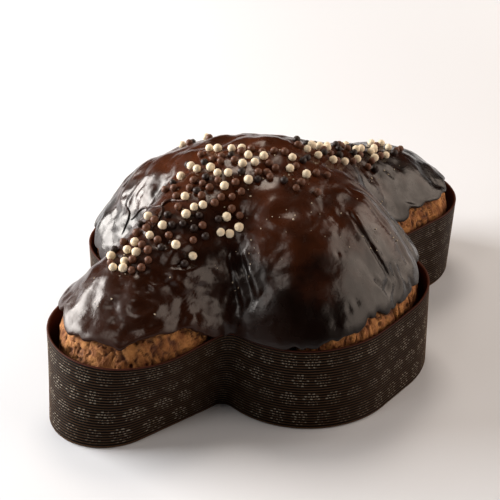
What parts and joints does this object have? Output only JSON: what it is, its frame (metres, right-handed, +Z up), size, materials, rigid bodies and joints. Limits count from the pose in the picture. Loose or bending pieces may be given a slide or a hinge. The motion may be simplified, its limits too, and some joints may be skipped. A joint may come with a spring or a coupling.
{
  "type": "colomba cake",
  "caption": "Dove-shaped festive loaf in a low dark paper case, its domed top coated in glossy chocolate glaze and strewn with chocolate pearls.",
  "frame": {"origin": "on the standing surface, under the middle of the loaf's bounding box", "axes": "+Z up, +X towards the tail, -X towards the head, the two wings along -Y and +Y"},
  "size_m": [0.2978, 0.2002, 0.1186],
  "materials": {
    "paper_case": "matt dark brown ribbed baking paper with a small pale dotted print",
    "crust": "baked crust, golden brown, rough and cracked",
    "glaze": "set dark chocolate glaze, glossy"
  },
  "bodies": {
    "root": {"paper_case": "paper_case", "cake": "crust", "chocolate_glaze": "glaze"}
  },
  "joints": []
}
